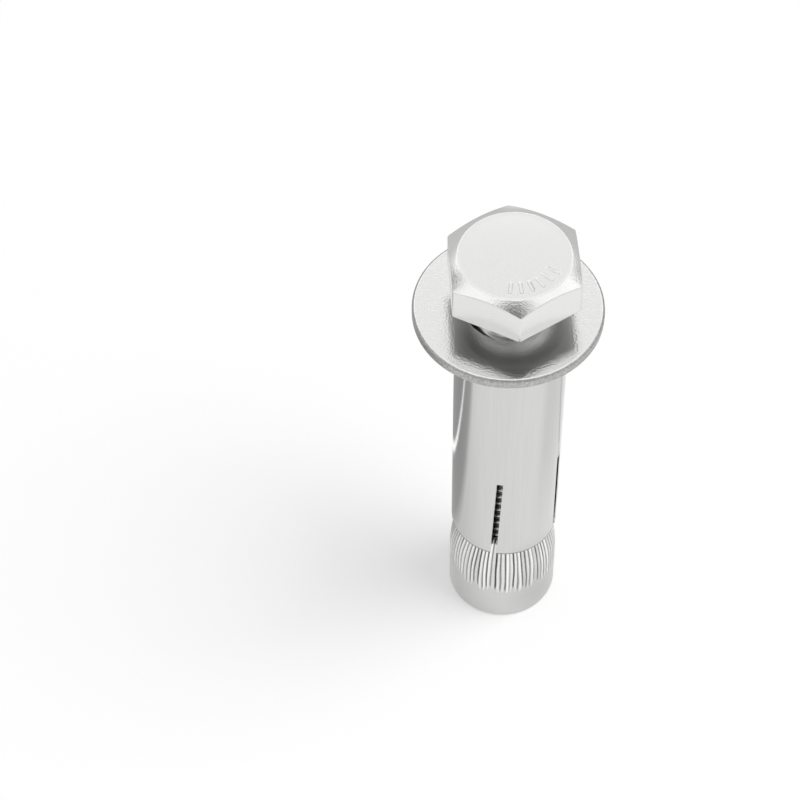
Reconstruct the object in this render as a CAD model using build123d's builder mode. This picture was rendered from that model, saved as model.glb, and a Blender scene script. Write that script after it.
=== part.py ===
from build123d import *
import math
import os

# Sleeve expansion bolt: a hex bolt with a loose washer and a slotted sleeve, screwed into a cone nut.
# Millimetres, +Z up. The bolt stands on the foot of its nut, with the origin on the axis at the foot.

os.makedirs("parts", exist_ok=True)

# Thread. The shank and the nut's bore are plain here, at the thread's outer diameter.
thread_diameter = 8.0
thread_clearance = 0.05

# Hex bolt
across_flats = 13.0
head_height = 4.7
crown_inset = 0.7
crown_angle = 30.0
bearing_face_height = 0.3
neck_radius = 0.4
point_chamfer = 0.8
head_turn = 2.5

# Washer, punched: the punch has rolled its upper rim over
washer_diameter = 19.8
washer_thickness = 1.1
washer_hole_gap = 0.6
washer_rim_radius = 0.35
washer_rest_gap = 0.15

# Sleeve: a tube with two saw passes across its mouth, which leave four slots
sleeve_length = 36.1
sleeve_wall = 0.9
sleeve_shank_gap = 1.05
sleeve_edge_break = 0.15
slot_length = 13.5
slot_width = 0.7
first_pass_azimuth = -101.5
first_pass_lean = 2.0
second_pass_azimuth = -20.5

# Cone nut: a plain band at the foot, then an arched taper with fine V ridges along it
mouth_height = 12.6
nut_entry = 0.6
nut_proud = 0.15
band_height = 6.5
foot_chamfer = 0.25
ridge_count = 72
ridge_height = 0.2
ridge_under = 0.02
groove_start = 4.9
taper_steps = 5

# How the pieces stand to each other
seat_gap = 0.25
head_lift = 2.9
point_recess = 2.7

thread_radius = thread_diameter / 2
nut_bore_radius = thread_radius + thread_clearance
sleeve_bore_radius = thread_radius + sleeve_shank_gap
sleeve_radius = sleeve_bore_radius + sleeve_wall
nut_radius = sleeve_radius + nut_proud

washer_bottom = mouth_height + sleeve_length
washer_top = washer_bottom + washer_thickness
bearing_height = washer_top + head_lift
head_bottom = bearing_height + bearing_face_height
head_top = head_bottom + head_height

# The taper is one arc, tangent to the band, that passes the sleeve's mouth at the seat gap.
seat_drop = nut_radius - (sleeve_bore_radius - seat_gap)
seat_rise = mouth_height - band_height
taper_radius = (seat_drop**2 + seat_rise**2) / (2 * seat_drop)
taper_centre = nut_radius - taper_radius
nut_height = mouth_height + nut_entry


# Hex bolt: the crown is cut by a cone, so that each corner slopes down from the round flat top.
corner_radius = across_flats / math.sqrt(3)
crown_radius = across_flats / 2 - crown_inset
crown_drop = (corner_radius - crown_radius) * math.tan(math.radians(crown_angle))

with BuildPart() as crown:
    with BuildSketch(Plane.XZ):
        with BuildLine():
            Polyline(
                (0, head_bottom),
                (corner_radius, head_bottom),
                (corner_radius, head_top - crown_drop),
                (crown_radius, head_top),
                (0, head_top),
                close=True,
            )
        make_face()
    revolve(axis=Axis.Z)

with BuildPart() as hex_bolt:
    with BuildSketch(Plane.XY.offset(head_bottom)):
        RegularPolygon(across_flats / 2, 6, major_radius=False, rotation=head_turn - 90)
    extrude(amount=head_height)
    add(crown.part, mode=Mode.INTERSECT)
    with BuildSketch(Plane.XY.offset(bearing_height)):
        Circle(crown_radius)
    extrude(amount=bearing_face_height)
    with BuildSketch(Plane.XY.offset(point_recess)):
        Circle(thread_radius)
    extrude(amount=bearing_height - point_recess)
    neck = hex_bolt.edges().filter_by(GeomType.CIRCLE).filter_by(lambda e: abs(e.radius - thread_radius) < 1e-6)
    fillet(neck.sort_by(Axis.Z)[-1], neck_radius)
    chamfer(hex_bolt.edges().group_by(Axis.Z)[0], point_chamfer)
hex_bolt.part.label = "hex_bolt"
export_step(hex_bolt.part, "parts/hex_bolt.step")

# Washer: its hole is wide for the shank, so it hangs to one side of the axis.
washer_hole_radius = thread_radius + washer_hole_gap
washer_lean = washer_hole_gap - washer_rest_gap

with BuildPart() as flat_washer:
    with BuildSketch(Plane.XY.offset(washer_bottom)):
        with Locations((-washer_lean, 0)):
            Circle(washer_diameter / 2)
            Circle(washer_hole_radius, mode=Mode.SUBTRACT)
    extrude(amount=washer_thickness)
    upper_rim = flat_washer.edges().group_by(Axis.Z)[-1].sort_by(SortBy.RADIUS)[-1]
    fillet(upper_rim, washer_rim_radius)
flat_washer.part.label = "flat_washer"
export_step(flat_washer.part, "parts/flat_washer.step")

# Sleeve: each saw pass is a thin blade that crosses both walls, and the first one leans a little.
with BuildPart() as expansion_sleeve:
    with BuildSketch(Plane.XY.offset(mouth_height)):
        Circle(sleeve_radius)
    extrude(amount=sleeve_length)
    outer_edges = expansion_sleeve.edges().filter_by(GeomType.CIRCLE)
    chamfer(outer_edges, sleeve_edge_break)
    with BuildSketch(Plane.XY.offset(mouth_height)):
        Circle(sleeve_bore_radius)
    extrude(amount=sleeve_length, mode=Mode.SUBTRACT)
    for azimuth, lean in ((first_pass_azimuth, first_pass_lean), (second_pass_azimuth, 0.0)):
        turn = math.radians(azimuth)
        tilt = math.radians(lean)
        outward = Vector(math.cos(turn), math.sin(turn), 0)
        sideways = Vector(-math.sin(turn), math.cos(turn), 0)
        upward = Vector(0, 0, 1) * math.cos(tilt) + sideways * math.sin(tilt)
        blade = Plane(origin=(0, 0, mouth_height + slot_length / 2), x_dir=upward, z_dir=outward)
        with BuildSketch(blade):
            with Locations((-slot_length / 2, 0)):
                Rectangle(2 * slot_length, slot_width)
        extrude(amount=2 * sleeve_radius, both=True, mode=Mode.SUBTRACT)
expansion_sleeve.part.label = "expansion_sleeve"
export_step(expansion_sleeve.part, "parts/expansion_sleeve.step")

# Ridged shaft: a star of V ridges, lofted up the taper from just under the foot to just over the top.
# Under the taper it swells, so that its valleys come out through the band where the grooves start.
crest_radius = nut_radius - ridge_under
valley_share = 1 - ridge_height / crest_radius
swell = (nut_radius / valley_share - crest_radius) / (band_height - groove_start)
overrun = ridge_height
taper_rise = nut_height + overrun - band_height


def crest_at(height):
    """The radius of the ridges' crests at a height on the taper."""
    return taper_centre - ridge_under + math.sqrt(taper_radius**2 - (height - band_height) ** 2)


def star(crest):
    """The corners of the ridged outline, crest and valley by turns."""
    corners = []
    for corner in range(2 * ridge_count):
        radius = crest if corner % 2 == 0 else crest * valley_share
        turn = math.pi * corner / ridge_count
        corners.append((radius * math.cos(turn), radius * math.sin(turn)))
    return corners


section_heights = [band_height + taper_rise * step / taper_steps for step in range(taper_steps + 1)]
foot_section = (-overrun, crest_radius + swell * (band_height + overrun))
sections = [foot_section] + [(height, crest_at(height)) for height in section_heights]

with BuildPart() as ridged_shaft:
    for height, crest in sections:
        with BuildSketch(Plane.XY.offset(height)):
            Polygon(*star(crest), align=None)
    loft(ruled=True)

with BuildPart() as cone_nut:
    with BuildSketch():
        Circle(nut_radius)
        Circle(nut_bore_radius, mode=Mode.SUBTRACT)
    extrude(amount=nut_height)
    chamfer(cone_nut.edges().group_by(Axis.Z)[0], foot_chamfer)
    add(ridged_shaft.part, mode=Mode.INTERSECT)
cone_nut.part.label = "cone_nut"
export_step(cone_nut.part, "parts/cone_nut.step")
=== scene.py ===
"""Sleeve expansion bolt, dressed in stainless steel.

Four pieces stand on one axis: the cone nut on the floor, the slotted sleeve on its taper, the loose washer on
the sleeve, and the hex bolt that runs down through all three into the nut. Each piece is a class that takes
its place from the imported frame, builds its mesh and dresses it. The floor, the dome and the studio round
them are classes too.
"""

import logging
import math
from collections.abc import Iterable
from dataclasses import dataclass
from enum import Enum
from typing import Any, ClassVar

import bmesh
import bpy
from mathutils import Matrix, Vector


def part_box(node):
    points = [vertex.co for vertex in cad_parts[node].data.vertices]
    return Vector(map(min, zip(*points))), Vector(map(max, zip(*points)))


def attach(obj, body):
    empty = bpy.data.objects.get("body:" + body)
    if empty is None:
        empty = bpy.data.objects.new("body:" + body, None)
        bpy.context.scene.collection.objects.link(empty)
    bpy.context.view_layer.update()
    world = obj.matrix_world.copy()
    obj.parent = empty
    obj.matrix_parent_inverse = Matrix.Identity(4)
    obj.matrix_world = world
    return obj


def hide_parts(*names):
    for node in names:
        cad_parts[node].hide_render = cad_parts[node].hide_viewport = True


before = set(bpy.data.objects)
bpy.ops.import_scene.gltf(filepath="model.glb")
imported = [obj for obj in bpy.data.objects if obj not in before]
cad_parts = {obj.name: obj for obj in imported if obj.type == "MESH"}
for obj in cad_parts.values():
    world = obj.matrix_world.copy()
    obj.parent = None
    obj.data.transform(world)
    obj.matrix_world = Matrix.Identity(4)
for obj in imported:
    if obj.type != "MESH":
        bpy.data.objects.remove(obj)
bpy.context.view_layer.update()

MM = 0.001
FULL_TURN = 2 * math.pi
SIXTH_TURN = FULL_TURN / 6
MERGE_DISTANCE = 0.0005 * MM
IMAGE_WIDTH = 800

Point = tuple[float, float, float]
Settings = dict[str | int, Any]
Links = dict[str | int, bpy.types.NodeSocket]
Ring = list[bmesh.types.BMVert]
Outline = list[tuple[float, float]]
Corners = list[Point]

MATH = "ShaderNodeMath"
VECTOR_MATH = "ShaderNodeVectorMath"
MAP_RANGE = "ShaderNodeMapRange"
SEPARATE = "ShaderNodeSeparateXYZ"
MIX = "ShaderNodeMix"
MIX_SHADER = "ShaderNodeMixShader"
EMISSION = "ShaderNodeEmission"
NOISE = "ShaderNodeTexNoise"
WHITE_NOISE = "ShaderNodeTexWhiteNoise"

PLUS: Settings = {"operation": "ADD"}
MINUS: Settings = {"operation": "SUBTRACT"}
TIMES: Settings = {"operation": "MULTIPLY"}
OVER: Settings = {"operation": "DIVIDE"}
LARGER: Settings = {"operation": "MAXIMUM"}
SMALLER: Settings = {"operation": "MINIMUM"}
TIMES_PLUS: Settings = {"operation": "MULTIPLY_ADD"}
ABSOLUTE: Settings = {"operation": "ABSOLUTE"}
LENGTH: Settings = {"operation": "LENGTH"}
DOT: Settings = {"operation": "DOT_PRODUCT"}
SMOOTH: Settings = {"interpolation_type": "SMOOTHSTEP"}

# A Mix node has its two colours at these inputs, and the mixed colour at this output.
COLOUR_A, COLOUR_B, MIXED_COLOUR = 6, 7, 2

# Values that the nut's mesh carries for its material: the grooves' depth for painted shade, and the crests
# for a painted highlight.
PAINTED_GROOVE_SHADE = "groove"
PAINTED_CREST_HIGHLIGHT = "painted_crest"


def add_node(
    tree: bpy.types.NodeTree,
    kind: str,
    settings: Settings | None = None,
    links: Links | None = None,
) -> bpy.types.Node:
    """Adds one node to a shader or geometry tree.

    Args:
        tree: The tree that gets the node.
        kind: Blender's name for the type of node.
        settings: The node's properties by name, and the values of its inputs by name or index.
        links: The sockets that feed its inputs, by the input's name or index.

    Returns:
        The new node.
    """
    node = tree.nodes.new(kind)
    for key, value in (settings or {}).items():
        if isinstance(key, str) and hasattr(node, key):
            setattr(node, key, value)
        else:
            node.inputs[key].default_value = value
    for key, socket in (links or {}).items():
        tree.links.new(socket, node.inputs[key])
    return node


class Graph:
    """A shader or geometry node tree in the making."""

    def __init__(self, tree: bpy.types.NodeTree) -> None:
        """Takes the tree and empties it."""
        self.tree = tree
        tree.nodes.clear()

    def add(
        self,
        kind: str,
        settings: Settings | None = None,
        links: Links | None = None,
        output: str | int = 0,
    ) -> bpy.types.NodeSocket:
        """Adds a node to the tree and gives one of its outputs."""
        return add_node(self.tree, kind, settings, links).outputs[output]


@dataclass(frozen=True)
class Fade:
    """A value that changes between two places of a measure, and is level on both sides of them."""

    start: float
    end: float
    before: float = 0.0
    after: float = 1.0
    soft: bool = False

    @property
    def settings(self) -> Settings:
        """The fade as the settings of a Map Range node."""
        ends = {"From Min": self.start, "From Max": self.end, "To Min": self.before, "To Max": self.after}
        return {**ends, **(SMOOTH if self.soft else {})}


def named_sizes(owner: Any, *names: str) -> dict[str, float | int]:
    """An object's sizes for the inputs of a tree, each under its name in plain words, as "Outer radius"."""
    return {name.replace("_", " ").capitalize(): getattr(owner, name) for name in names}


def linear_colour(code: str) -> tuple[float, float, float, float]:
    """Turns an sRGB hex colour into the linear one that Blender works in.

    Args:
        code: Six hex digits after a hash, such as "#D8D8D4".

    Returns:
        Red, green and blue, with an alpha of 1.
    """
    channels = [int(code[i:i + 2], 16) / 255 for i in (1, 3, 5)]
    red, green, blue = (c / 12.92 if c <= 0.04045 else ((c + 0.055) / 1.055) ** 2.4 for c in channels)
    return red, green, blue, 1.0


def round_point(radius: float, azimuth: float, height: float) -> Vector:
    """The point at a radius and azimuth, in radians, round the axis."""
    return Vector((radius * math.cos(azimuth), radius * math.sin(azimuth), height))


def even_azimuths(count: int) -> list[float]:
    """Directions evenly spaced round the axis, in radians."""
    return [FULL_TURN * i / count for i in range(count)]


def stand(name: str, data: bpy.types.ID) -> bpy.types.Object:
    """Puts a new object into the scene, at the origin.

    Args:
        name: The object's name.
        data: What it shows: a mesh, a lamp or a lens.

    Returns:
        The object.
    """
    thing = bpy.data.objects.new(name, data)
    bpy.context.scene.collection.objects.link(thing)
    return thing


def rounded(corners: Corners, steps: int = 4) -> Outline:
    """Rounds the corners of an open outline in the plane of radius and height.

    Args:
        corners: Radius, height and rounding of each corner. The two ends are never rounded.
        steps: Facets in each rounding.

    Returns:
        The outline's points.
    """
    points: Outline = [corners[0][:2]]
    for before, corner, after in zip(corners, corners[1:], corners[2:]):
        here, rounding = Vector(corner[:2]), corner[2]
        back = (Vector(before[:2]) - here).normalized()
        ahead = (Vector(after[:2]) - here).normalized()
        half = back.angle(ahead) / 2
        middle = here + (back + ahead).normalized() * rounding / math.sin(half)
        reach = rounding / math.tan(half)
        start, end = here + back * reach - middle, here + ahead * reach - middle
        for i in range(steps + 1 if rounding else 1):
            arm = start.lerp(end, i / steps)
            points.append(tuple(middle + arm.normalized() * rounding))
    return points + [corners[-1][:2]]


class LatheTree(Graph):
    """A Geometry Nodes tree that wraps a grid round the axis, where a rule gives each point its radius."""

    def __init__(self, name: str, sizes: dict[str, float | int]) -> None:
        """Makes the tree, its named inputs and the grid.

        Args:
            name: The tree's name.
            sizes: The inputs with their values: whole numbers are counts, and lengths are in metres. They
                hold "Points round" and "Points along", the grid's own counts.
        """
        super().__init__(bpy.data.node_groups.new(name, "GeometryNodeTree"))
        self.values = sizes
        self.identifiers: dict[str, str] = {}
        for label, value in sizes.items():
            self._open_input(label, "NodeSocketInt" if isinstance(value, int) else "NodeSocketFloat")
        self._open_input("Finish", "NodeSocketMaterial")
        self.tree.interface.new_socket(name="Geometry", in_out="OUTPUT", socket_type="NodeSocketGeometry")
        self.sizes = add_node(self.tree, "NodeGroupInput").outputs
        counts = {"Vertices X": self.sizes["Points round"], "Vertices Y": self.sizes["Points along"]}
        self.grid = self.add("GeometryNodeMeshGrid", {"Size X": 1.0, "Size Y": 1.0}, counts)
        place = self.add("GeometryNodeInputPosition")
        flat = add_node(self.tree, SEPARATE, links={0: place})
        self.turn = self.add(MATH, {**PLUS, 1: 0.5}, {0: flat.outputs["X"]})
        self.along = self.add(MATH, {**PLUS, 1: 0.5}, {0: flat.outputs["Y"]})
        self.azimuth = self.add(MATH, {**TIMES, 1: FULL_TURN}, {0: self.turn})

    def _open_input(self, label: str, kind: str) -> None:
        """Gives the tree a named input and keeps its identifier."""
        socket = self.tree.interface.new_socket(name=label, in_out="INPUT", socket_type=kind)
        self.identifiers[label] = socket.identifier

    def around(self, radius: bpy.types.NodeSocket, height: bpy.types.NodeSocket) -> bpy.types.NodeSocket:
        """Where the grid's points go, round the axis.

        Args:
            radius: How far from the axis each point lies.
            height: How high.

        Returns:
            The place of each point.
        """
        arm = self.add("ShaderNodeCombineXYZ", {}, {"X": radius, "Z": height})
        turned = {"Vector": arm, "Angle": self.azimuth}
        return self.add("ShaderNodeVectorRotate", {"rotation_type": "Z_AXIS"}, turned)

    def mesh(
        self,
        place: bpy.types.NodeSocket,
        finish: bpy.types.Material,
        inward: bool = False,
        marks: Links | None = None,
    ) -> bpy.types.Mesh:
        """Ends the tree and runs it once.

        Args:
            place: Where each grid point goes.
            finish: The material that the mesh carries.
            inward: True where the faces look at the axis, as in a bore.
            marks: Values that the points carry for the material, by name.

        Returns:
            The result as a plain mesh.
        """
        skin = self.grid
        for label, value in (marks or {}).items():
            carried = {"Geometry": skin, "Value": value}
            skin = self.add("GeometryNodeStoreNamedAttribute", {"Name": label}, carried)
        skin = self.add("GeometryNodeSetPosition", {}, {"Geometry": skin, "Position": place})
        skin = self.add("GeometryNodeMergeByDistance", {"Distance": MERGE_DISTANCE}, {"Geometry": skin})
        if inward:
            skin = self.add("GeometryNodeFlipFaces", {}, {"Mesh": skin})
        skin = self.add("GeometryNodeRealizeInstances", {}, {"Geometry": skin})
        dressed = {"Geometry": skin, "Material": self.sizes["Finish"]}
        skin = self.add("GeometryNodeSetMaterial", {}, dressed)
        add_node(self.tree, "NodeGroupOutput", links={"Geometry": skin})

        holder = stand(self.tree.name, bpy.data.meshes.new(self.tree.name))
        modifier = holder.modifiers.new("Shape", "NODES")
        modifier.node_group = self.tree
        for label, value in {**self.values, "Finish": finish}.items():
            modifier[self.identifiers[label]] = value
        evaluated = holder.evaluated_get(bpy.context.evaluated_depsgraph_get())
        result = bpy.data.meshes.new_from_object(evaluated)
        holder.modifiers.remove(modifier)
        bpy.data.objects.remove(holder)
        return result


class ThreadSide(Enum):
    """Which way a thread's faces look."""

    SHANK = "on a shank"
    BORE = "in a bore"


@dataclass(frozen=True)
class Thread:
    """A right-hand thread round the axis. Bolt and nut share its phase, so their ridges always interlock."""

    side: ThreadSide
    outer_radius: float
    inner_radius: float
    bottom: float
    top: float
    end_radius: float
    end_length: float
    run_out: float = 0.0
    pitch: float = 1.25 * MM
    columns: int = 60
    rows_per_turn: int = 12
    outer_flat: float = 1 / 16
    inner_flat: float = 1 / 8

    def mesh(self, finish: bpy.types.Material) -> bpy.types.Mesh:
        """Builds the thread between its bottom and top as an open tube, with its ends chamfered.

        Args:
            finish: The material that the mesh carries.

        Returns:
            The tube, with one round edge at the bottom and one at the top.
        """
        step = self.pitch / self.rows_per_turn
        start = math.floor((self.bottom - self.pitch) / step) * step
        turns = math.ceil((self.top - start) / self.pitch)
        lathe = LatheTree(f"Thread {self.side.value}", {
            "Points round": self.columns + 1,
            "Points along": turns * self.rows_per_turn + 1,
            **named_sizes(self, "pitch", "outer_radius", "inner_radius", "bottom", "top", "end_radius"),
            "Start": start,
            "End": start + turns * self.pitch,
            "Chamfer end": self.bottom + self.end_length,
            "Run-out start": self.top - self.run_out,
        })
        add, sizes = lathe.add, lathe.sizes
        span = {"To Min": sizes["Start"], "To Max": sizes["End"]}
        level = add(MAP_RANGE, {"clamp": False}, {"Value": lathe.along, **span})
        climb = add(MATH, TIMES_PLUS, {0: lathe.turn, 1: sizes["Pitch"], 2: level})
        height = add("ShaderNodeClamp", {}, {"Value": climb, "Min": sizes["Bottom"], "Max": sizes["Top"]})
        pitches = add(MATH, OVER, {0: height, 1: sizes["Pitch"]})
        phase = add(MATH, MINUS, {0: pitches, 1: lathe.turn})
        flank = add(MATH, {"operation": "PINGPONG", 1: 0.5}, {0: phase})
        depths = {"To Min": sizes["Outer radius"], "To Max": sizes["Inner radius"]}
        flats = {"From Min": self.outer_flat, "From Max": 0.5 - self.inner_flat}
        radius = add(MAP_RANGE, flats, {"Value": flank, **depths})
        cone = {"From Min": sizes["Bottom"], "From Max": sizes["Chamfer end"], "To Min": sizes["End radius"]}
        if self.side is ThreadSide.SHANK:
            limit = add(MAP_RANGE, {}, {"Value": height, "To Max": sizes["Outer radius"], **cone})
            radius = add(MATH, SMALLER, {0: radius, 1: limit})
            fade = {"Value": height, "From Min": sizes["Run-out start"], "From Max": sizes["Top"]}
            plain = add(MAP_RANGE, SMOOTH, fade)
            ends = {"Factor": plain, "A": radius, "B": sizes["Outer radius"]}
            radius = add(MIX, {"data_type": "FLOAT"}, ends)
        else:
            middle = add(MATH, PLUS, {0: sizes["Bottom"], 1: sizes["Top"]})
            mirrored = add(MATH, MINUS, {0: middle, 1: height})
            nearest = add(MATH, SMALLER, {0: height, 1: mirrored})
            limit = add(MAP_RANGE, {}, {"Value": nearest, "To Max": sizes["Inner radius"], **cone})
            radius = add(MATH, LARGER, {0: radius, 1: limit})
        return lathe.mesh(lathe.around(radius, height), finish, inward=self.side is ThreadSide.BORE)


class Shell:
    """A closed skin in the making: rings of points round an upright axis, joined by faces."""

    def __init__(self, centre: Vector | None = None) -> None:
        """Starts an empty skin round the axis through centre, or through the origin."""
        self.centre = centre or Vector()
        self.bm = bmesh.new()

    def _azimuth(self, vert: bmesh.types.BMVert) -> float:
        """A point's direction from the axis, from 0 to a full turn."""
        return math.atan2(vert.co.y - self.centre.y, vert.co.x - self.centre.x) % FULL_TURN

    def include(self, tube: bpy.types.Mesh) -> tuple[Ring, Ring]:
        """Adds an open tube and removes its data block.

        Args:
            tube: A mesh with two open edges, one low and one high.

        Returns:
            The points of its lower and its upper edge, in order round the axis.
        """
        count = len(self.bm.verts)
        self.bm.from_mesh(tube)
        bpy.data.meshes.remove(tube)
        self.bm.verts.ensure_lookup_table()
        rim = [v for v in self.bm.verts[count:] if any(edge.is_boundary for edge in v.link_edges)]
        heights = [vert.co.z for vert in rim]
        middle = (min(heights) + max(heights)) / 2
        rim.sort(key=self._azimuth)
        return [v for v in rim if v.co.z < middle], [v for v in rim if v.co.z > middle]

    def ring(self, points: Iterable[Vector]) -> Ring:
        """Adds one ring of points, given in order round the axis."""
        return [self.bm.verts.new(self.centre + point) for point in points]

    def strip(self, lower: Ring, upper: Ring) -> None:
        """Joins two rings of as many points by one strip of quads.

        Args:
            lower: One ring.
            upper: The other ring, point for point.
        """
        for i, start in enumerate(lower):
            following = (i + 1) % len(lower)
            self.bm.faces.new((start, lower[following], upper[following], upper[i]))

    def stack(self, rings: list[Ring]) -> None:
        """Joins several rings of as many points, each to the next."""
        for lower, upper in zip(rings, rings[1:]):
            self.strip(lower, upper)

    def turned(self, outline: Outline, azimuths: list[float]) -> list[Ring]:
        """Turns an outline of radius and height round the axis.

        Args:
            outline: Radius and height of each point.
            azimuths: The directions of the points of each ring.

        Returns:
            One ring for each point of the outline.
        """
        rings = [self.ring(round_point(radius, azimuth, height) for azimuth in azimuths)
                 for radius, height in outline]
        self.stack(rings)
        return rings

    def extend(self, edge: Ring, outline: Outline) -> Ring:
        """Carries on from an edge along an outline.

        Args:
            edge: The edge's points, in order round the axis.
            outline: Radius and height of each further ring.

        Returns:
            The last ring.
        """
        rings = self.turned(outline, [self._azimuth(vert) for vert in edge])
        self.strip(edge, rings[0])
        return rings[-1]

    def cap(self, ring: Ring) -> None:
        """Closes a flat ring with a fan of triangles.

        Args:
            ring: The ring, round the fan's middle.
        """
        middle = self.bm.verts.new(sum((vert.co for vert in ring), Vector()) / len(ring))
        for i, vert in enumerate(ring):
            self.bm.faces.new((middle, vert, ring[(i + 1) % len(ring)]))

    def bridge(self, first: Ring, second: Ring) -> None:
        """Fills the flat gap between two rings, whatever their counts, with triangles.

        Args:
            first: One ring.
            second: The ring inside or outside it.
        """
        sides = [sorted(ring, key=self._azimuth) for ring in (first, second)]
        steps = [(self._azimuth(vert), side, vert) for side, ring in enumerate(sides) for vert in ring]
        latest = [ring[-1] for ring in sides]
        for _, side, vert in sorted(steps, key=lambda step: step[0]):
            self.bm.faces.new((latest[side], vert, latest[1 - side]))
            latest[side] = vert

    def finish(self, name: str, material: bpy.types.Material) -> bpy.types.Object:
        """Merges the doubles, points the faces outwards and makes the object.

        Args:
            name: The piece's name.
            material: Its finish.

        Returns:
            The piece, at the origin, with its place in its mesh.
        """
        bmesh.ops.remove_doubles(self.bm, verts=self.bm.verts[:], dist=MERGE_DISTANCE)
        bmesh.ops.recalc_face_normals(self.bm, faces=self.bm.faces[:])
        for face in self.bm.faces:
            face.smooth = True
            face.material_index = 0
        mesh = bpy.data.meshes.new(name)
        self.bm.to_mesh(mesh)
        self.bm.free()
        mesh.materials.clear()
        mesh.materials.append(material)
        return stand(name, mesh)


class SurfaceTree(Graph):
    """The node tree of one material: patterns on the piece's own coordinates, and one shader."""

    def __init__(self, name: str) -> None:
        """Starts the material and its Object coordinates.

        Args:
            name: The material's name.
        """
        self.material = bpy.data.materials.new(name)
        self.material.use_nodes = True
        super().__init__(self.material.node_tree)
        self.place = self.add("ShaderNodeTexCoord", output="Object")

    def radius(self, centre: Point = (0, 0, 0)) -> bpy.types.NodeSocket:
        """How far each point lies from an upright axis.

        Args:
            centre: A point of the axis.

        Returns:
            The distance.
        """
        shift = {"vector_type": "POINT", "Location": tuple(-x for x in centre), "Scale": (1, 1, 0)}
        flat = self.add("ShaderNodeMapping", shift, {"Vector": self.place})
        return self.add(VECTOR_MATH, LENGTH, {0: flat}, "Value")

    def height(self) -> bpy.types.NodeSocket:
        """The height over the bolt's foot."""
        return self.add(SEPARATE, {}, {0: self.place}, "Z")

    def speckle(self, size: float, stretch: Point = (1, 1, 1), detail: float = 2) -> bpy.types.NodeSocket:
        """A noise between about 0.25 and 0.75 over the surface.

        Args:
            size: The width of its spots, in metres.
            stretch: How much wider the spots are along each axis.
            detail: How many finer layers it has.

        Returns:
            The noise.
        """
        scale = tuple(1 / (size * s) for s in stretch)
        spot = self.add("ShaderNodeMapping", {"vector_type": "POINT", "Scale": scale}, {"Vector": self.place})
        return self.add(NOISE, {"Scale": 1.0, "Detail": detail}, {"Vector": spot})

    def finish(self, shader: bpy.types.NodeSocket) -> bpy.types.Material:
        """Ends the material with its shader and gives it."""
        add_node(self.tree, "ShaderNodeOutputMaterial", links={"Surface": shader})
        return self.material


@dataclass(frozen=True)
class SteelFinish:
    """Stainless steel with a faint grain, and patches where it is duller, darker and coarser; some of the
    darker patches are painted shade.
    """

    name: str
    pale: str
    dark: str
    patch_and_shade_colour: str
    roughness: float
    patch_roughness: float
    grain_size: float
    relief: float
    patch_relief: float
    grain_stretch: Point = (1, 1, 1)
    grain_contrast: Fade = Fade(0.35, 0.65)

    def grain(self, steel: SurfaceTree) -> bpy.types.NodeSocket:
        """The faint pattern all over, around 0.5."""
        return steel.speckle(self.grain_size, self.grain_stretch)

    def patch(self, steel: SurfaceTree) -> bpy.types.NodeSocket:
        """Where the patches are, from 0 to 1."""
        raise NotImplementedError

    def coarse(self, steel: SurfaceTree, patch: bpy.types.NodeSocket) -> bpy.types.NodeSocket:
        """Where the grain is coarse, from 0 to 1."""
        return patch

    def material(self) -> bpy.types.Material:
        """Builds the material: two close shades in its grain, and the patches over them.

        Returns:
            The material.
        """
        steel = SurfaceTree(self.name)
        add = steel.add
        grain, patch = self.grain(steel), self.patch(steel)
        faint = add(MAP_RANGE, self.grain_contrast.settings, {"Value": grain})
        shades = {COLOUR_A: linear_colour(self.pale), COLOUR_B: linear_colour(self.dark)}
        plain = add(MIX, {"data_type": "RGBA", **shades}, {"Factor": faint}, MIXED_COLOUR)
        patchy = {"data_type": "RGBA", COLOUR_B: linear_colour(self.patch_and_shade_colour)}
        mixed = add(MIX, patchy, {"Factor": patch, COLOUR_A: plain}, MIXED_COLOUR)
        gloss = {"To Min": self.roughness, "To Max": self.patch_roughness}
        dulled = add(MAP_RANGE, gloss, {"Value": patch})
        reach = {"To Min": self.relief, "To Max": self.patch_relief}
        height = add(MAP_RANGE, reach, {"Value": self.coarse(steel, patch)})
        lifted = add(MATH, TIMES, {0: grain, 1: height})
        bent = add("ShaderNodeBump", {"Distance": 1.0}, {"Height": lifted})
        skin = {"Base Color": mixed, "Roughness": dulled, "Normal": bent}
        return steel.finish(add("ShaderNodeBsdfPrincipled", {"Metallic": 1.0}, skin))


@dataclass(frozen=True)
class ColdForged(SteelFinish):
    """Cold-forged steel: a satin skin, frosted on the crown and dull on the thread, with painted shade under
    the head and less of it on the thread.
    """

    # Painted shade and a dull skin: all of it under the head, and 0.3 of it on the thread.
    painted_shade_and_dull_skin: Fade = Fade(4.1 * MM, 4.4 * MM, before=0.3)
    below_head: Fade = Fade(53.05 * MM, 53.0 * MM)
    crown_slope: float = math.tan(math.radians(30))
    crown_radius: float = 5.8 * MM
    crown_height: float = 57.6 * MM
    frost_start: float = 0.12 * MM
    frost_end: float = 0.04 * MM

    def patch(self, steel: SurfaceTree) -> bpy.types.NodeSocket:
        """Painted shade with a dull skin under the head, and less of both on the thread.

        Args:
            steel: The material in the making.

        Returns:
            Where the patches are, from 0 to 1.
        """
        dull = steel.add(MAP_RANGE, self.painted_shade_and_dull_skin.settings, {"Value": steel.radius()})
        under = steel.add(MAP_RANGE, self.below_head.settings, {"Value": steel.height()})
        return steel.add(MATH, TIMES, {0: dull, 1: under})

    def coarse(self, steel: SurfaceTree, patch: bpy.types.NodeSocket) -> bpy.types.NodeSocket:
        """The crown, which the die leaves frosted.

        Args:
            steel: The material in the making.
            patch: Where the patches are; not used here.

        Returns:
            Where the grain is coarse, from 0 to 1.
        """
        links = {0: steel.radius(), 2: steel.height()}
        rise = steel.add(MATH, {**TIMES_PLUS, 1: self.crown_slope}, links)
        cone = self.crown_height + self.crown_slope * self.crown_radius
        frost = Fade(cone - self.frost_start, cone - self.frost_end)
        return steel.add(MAP_RANGE, frost.settings, {"Value": rise})


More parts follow.
